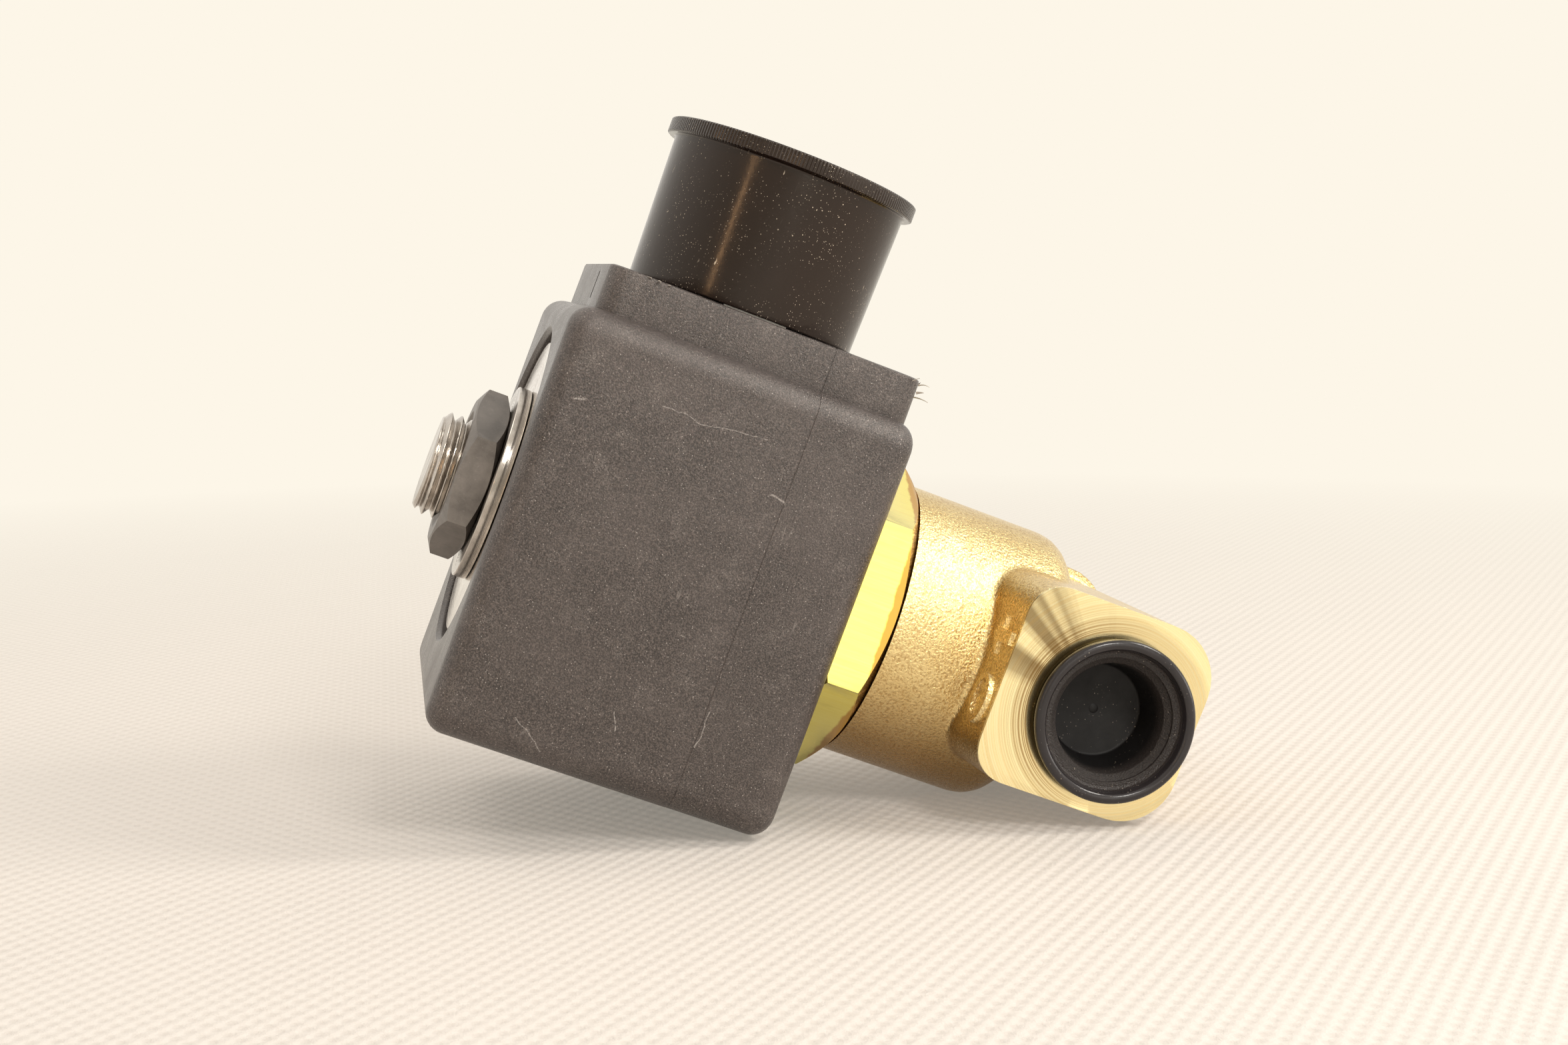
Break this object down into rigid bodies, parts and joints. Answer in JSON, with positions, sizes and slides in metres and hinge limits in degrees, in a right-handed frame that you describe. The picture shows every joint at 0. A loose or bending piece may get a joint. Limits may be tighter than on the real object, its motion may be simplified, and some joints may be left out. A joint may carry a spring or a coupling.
{
  "type": "solenoid valve",
  "caption": "Direct-acting solenoid valve: moulded coil with capped terminals on an armature tube, nut-held, over a forged brass body with plugged opposed ports.",
  "frame": {"origin": "centre of the bounding box's bottom: on the plane of the coil's flat underside, in the valve's symmetry plane, half-way between the stud's tip and the far side of the port block", "axes": "+X along the coil's axis from its nut to the brass body, +Z towards the terminals and their cap, -Y out of the front port"},
  "size_m": [0.0722, 0.0396, 0.0586],
  "materials": {
    "charcoal_nylon": "fine-grained moulded glass-filled nylon, lightly scuffed",
    "gloss_black_plastic": "glossy moulded polyethylene with dust and light scratches",
    "soft_black_plastic": "semi-gloss moulded black plastic",
    "bobbin_nylon": "natural moulded nylon",
    "copper": "bare or enamelled copper",
    "pole_steel": "zinc-plated mild steel, bright",
    "tinned_terminal": "tin-plated stamped metal",
    "stainless": "turned stainless steel",
    "spring_steel": "drawn spring wire",
    "dark_steel": "dark satin plated steel",
    "bright_brass": "bright machined brass with fine lines",
    "forged_brass": "blasted forged brass with machined port faces",
    "seal_rubber": "smooth black elastomer"
  },
  "bodies": {
    "body": {"valve_body": "forged_brass", "tube_base": "bright_brass", "armature_tube": "stainless", "fixed_core": "stainless", "shading_ring": "copper", "return_spring": "spring_steel", "coil_seal": "seal_rubber", "body_seal": "seal_rubber"},
    "coil": {"coil_housing": "charcoal_nylon", "outer_pole_plate": "pole_steel", "inner_pole_plate": "pole_steel", "yoke_tube": "pole_steel", "bobbin": "bobbin_nylon", "copper_winding": "copper", "line_terminal": "tinned_terminal", "neutral_terminal": "tinned_terminal", "earth_terminal": "tinned_terminal", "connector_nut": "bright_brass"},
    "cap": {"terminal_cap": "gloss_black_plastic"},
    "washer": {"flat_washer": "stainless"},
    "nut": {"coil_nut": "dark_steel"},
    "plunger": {"plunger": "stainless", "plunger_seal": "seal_rubber"},
    "front_plug": {"front_port_plug": "soft_black_plastic"},
    "rear_plug": {"rear_port_plug": "soft_black_plastic"}
  },
  "joints": [
    {"name": "plunger_lift", "type": "slide", "parent": "body", "child": "plunger", "axis": [-1, 0, 0], "range_m": [0, 0.0018], "stiffness_N_per_m": 400, "springref_m": -0.004, "deforming": ["return_spring"]},
    {"name": "coil_swivel", "type": "hinge", "parent": "body", "child": "coil", "pos_m": [-0.01375, 0, 0.02088], "axis": [1, 0, 0], "continuous": true},
    {"name": "cap_pull", "type": "slide", "parent": "coil", "child": "cap", "axis": [0, 0, 1], "range_m": [0, 0.016]},
    {"name": "washer_travel", "type": "slide", "parent": "body", "child": "washer", "axis": [-1, 0, 0], "range_m": [0, 0.005]},
    {"name": "nut_spin", "type": "hinge", "parent": "washer", "child": "nut", "pos_m": [-0.03215, 0, 0.02088], "axis": [-1, 0, 0], "range_deg": [0, 1800]},
    {"name": "front_plug_pull", "type": "slide", "parent": "body", "child": "front_plug", "axis": [0, -1, 0], "range_m": [0, 0.016]},
    {"name": "rear_plug_pull", "type": "slide", "parent": "body", "child": "rear_plug", "axis": [0, 1, 0], "range_m": [0, 0.016]}
  ],
  "couplings": [
    {"joint": "washer_travel", "follows": "nut_spin", "m_per_rad": 0.00015915}
  ]
}
